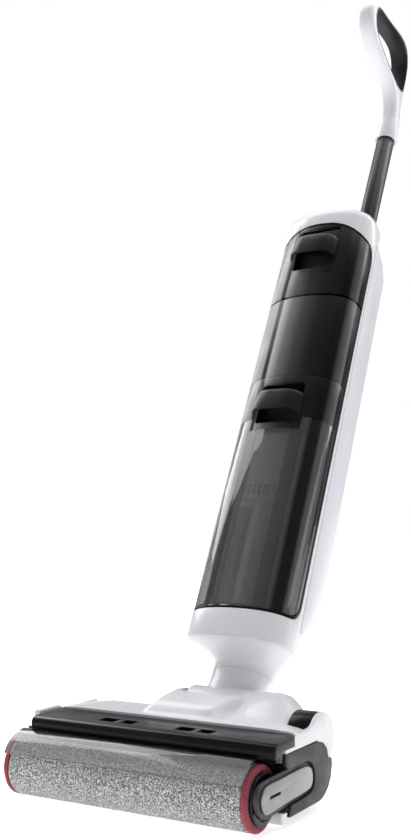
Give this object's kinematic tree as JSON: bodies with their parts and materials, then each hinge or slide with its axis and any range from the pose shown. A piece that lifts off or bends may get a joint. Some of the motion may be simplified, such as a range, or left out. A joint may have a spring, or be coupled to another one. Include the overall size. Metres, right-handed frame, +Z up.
{
  "type": "wet dry floor scrubber",
  "caption": "Upright wet dry floor washer with a plush roller head, rear wheels, reclining body, see-through water tanks and a pole with a loop handle.",
  "frame": {"origin": "centre of the bounding box seen from above, on the floor plane, with the body leaning back as stored", "axes": "+X to the right of someone who faces the machine's front, which is the end where the roller pulls out; +Y backwards, from the roller to the handle; +Z up"},
  "size_m": [0.275, 0.7062, 0.9967],
  "materials": {
    "white_shell": "white gloss",
    "pearl_cover": "pearl lavender white satin",
    "black_gloss": "black gloss",
    "dark_plastic": "dark grey matte",
    "smoke_clear": "smoky transparent gloss plastic",
    "smoke_cover": "smoky clear gloss plastic",
    "panel_grey": "dark grey satin",
    "grey_plastic": "mid grey satin",
    "filter_paper": "pleated pale filter paper",
    "steel": "turned steel",
    "motor_metal": "dull zinc plated steel",
    "metal_grey": "metallic grey satin",
    "tyre_rubber": "dark rubber",
    "soft_rubber": "black soft rubber",
    "clear_rubber": "milky translucent rubber",
    "plush": "grey melange plush",
    "crimson_band": "crimson plush",
    "battery_wrap": "dark blue shrink wrap",
    "board_green": "green solder mask",
    "pole_metal": "dark grey satin paint"
  },
  "bodies": {
    "head": {"head_base": "dark_plastic", "head_shell": "white_shell", "end_band": "dark_plastic", "side_plate_right": "dark_plastic", "side_plate_left": "dark_plastic", "roller_motor": "motor_metal", "scraper_blade": "soft_rubber", "rear_squeegee": "clear_rubber", "wheel_axle_right": "steel", "wheel_axle_left": "steel", "pivot_pin_left": "steel", "pivot_pin_right": "steel"},
    "brush_cover": {"cover_strip": "black_gloss", "cover_window": "smoke_cover"},
    "latch_left": {"cover_latch_left": "black_gloss"},
    "latch_right": {"cover_latch_right": "black_gloss"},
    "arm": {"roller_arm": "dark_plastic", "arm_insert": "metal_grey", "arm_pin": "steel"},
    "roller": {"roller_core": "grey_plastic", "roller_pile": "plush", "roller_band_left": "crimson_band", "roller_band_right": "crimson_band", "roller_end_cap": "dark_plastic", "roller_bearing": "steel", "drive_hub": "dark_plastic"},
    "motor_output": {"motor_shaft": "steel"},
    "right_wheel": {"tyre_right": "tyre_rubber", "wheel_hub_right": "white_shell"},
    "left_wheel": {"tyre_left": "tyre_rubber", "wheel_hub_left": "white_shell"},
    "neck": {"neck_yoke": "white_shell", "swivel_bush": "dark_plastic"},
    "main_body": {"neck_funnel": "white_shell", "body_shell": "white_shell", "display_lens": "black_gloss", "rear_cover": "pearl_cover", "charging_socket": "dark_plastic", "inner_frame": "dark_plastic", "window_trim": "black_gloss", "front_panel": "panel_grey", "air_filter": "filter_paper", "suction_motor": "motor_metal", "battery_pack": "battery_wrap", "circuit_board": "board_green", "water_pump": "dark_plastic", "handle_shell": "white_shell", "handle_grip": "soft_rubber", "pole": "pole_metal"},
    "fan": {"impeller": "dark_plastic"},
    "clean_water": {"clean_tank": "smoke_clear", "clean_tank_plug": "soft_rubber"},
    "dirty_water": {"dirty_tank": "smoke_clear", "dirty_tank_lid": "smoke_clear", "filter_housing": "grey_plastic", "strainer": "grey_plastic", "riser_tube": "grey_plastic"},
    "power": {"power_button": "dark_plastic"},
    "mode": {"mode_button": "dark_plastic"},
    "self_clean": {"self_clean_button": "dark_plastic"}
  },
  "joints": [
    {"name": "neck_recline", "type": "hinge", "parent": "head", "child": "neck", "pos_m": [0.0175, -0.20106, 0.061], "axis": [-1, 0, 0], "range_deg": [-25, 48]},
    {"name": "body_swivel", "type": "hinge", "parent": "neck", "child": "main_body", "pos_m": [0.0175, -0.15947, 0.09893], "axis": [0, 0.4524, 0.8918], "range_deg": [-30, 30]},
    {"name": "roller_spin", "type": "hinge", "parent": "arm", "child": "roller", "pos_m": [0.0175, -0.32306, 0.0281], "axis": [1, 0, 0], "continuous": true},
    {"name": "arm_pull", "type": "slide", "parent": "head", "child": "arm", "axis": [1, 0, 0], "range_m": [0, 0.27]},
    {"name": "motor_spin", "type": "hinge", "parent": "head", "child": "motor_output", "pos_m": [-0.0225, -0.32306, 0.0281], "axis": [1, 0, 0], "continuous": true},
    {"name": "right_wheel_spin", "type": "hinge", "parent": "head", "child": "right_wheel", "pos_m": [0.0935, -0.23506, 0.033], "axis": [1, 0, 0], "continuous": true},
    {"name": "left_wheel_spin", "type": "hinge", "parent": "head", "child": "left_wheel", "pos_m": [-0.0935, -0.23506, 0.033], "axis": [1, 0, 0], "continuous": true},
    {"name": "cover_lift", "type": "slide", "parent": "head", "child": "brush_cover", "axis": [0, 0, 1], "range_m": [0, 0.08]},
    {"name": "latch_left_slide", "type": "slide", "parent": "brush_cover", "child": "latch_left", "axis": [1, 0, 0], "range_m": [0, 0.008], "stiffness_N_per_m": 300, "springref_m": -0.003},
    {"name": "latch_right_slide", "type": "slide", "parent": "brush_cover", "child": "latch_right", "axis": [-1, 0, 0], "range_m": [0, 0.008], "stiffness_N_per_m": 300, "springref_m": -0.003},
    {"name": "fan_spin", "type": "hinge", "parent": "main_body", "child": "fan", "pos_m": [0.0175, 0.05153, 0.44411], "axis": [0, 0.4524, 0.8918], "continuous": true},
    {"name": "clean_tank_pull", "type": "slide", "parent": "main_body", "child": "clean_water", "axis": [0, -0.8918, 0.4524], "range_m": [0, 0.15]},
    {"name": "dirty_tank_pull", "type": "slide", "parent": "main_body", "child": "dirty_water", "axis": [0, -0.8918, 0.4524], "range_m": [0, 0.15]},
    {"name": "power_press", "type": "slide", "parent": "main_body", "child": "power", "axis": [0, -0.8918, 0.4524], "range_m": [0, 0.001], "stiffness_N_per_m": 900, "springref_m": -0.0015},
    {"name": "mode_press", "type": "slide", "parent": "main_body", "child": "mode", "axis": [0, -0.8918, 0.4524], "range_m": [0, 0.001], "stiffness_N_per_m": 900, "springref_m": -0.0015},
    {"name": "self_clean_press", "type": "slide", "parent": "main_body", "child": "self_clean", "axis": [0, -0.8918, 0.4524], "range_m": [0, 0.001], "stiffness_N_per_m": 900, "springref_m": -0.0015}
  ],
  "couplings": [
    {"joint": "motor_spin", "follows": "roller_spin", "ratio": 1}
  ]
}
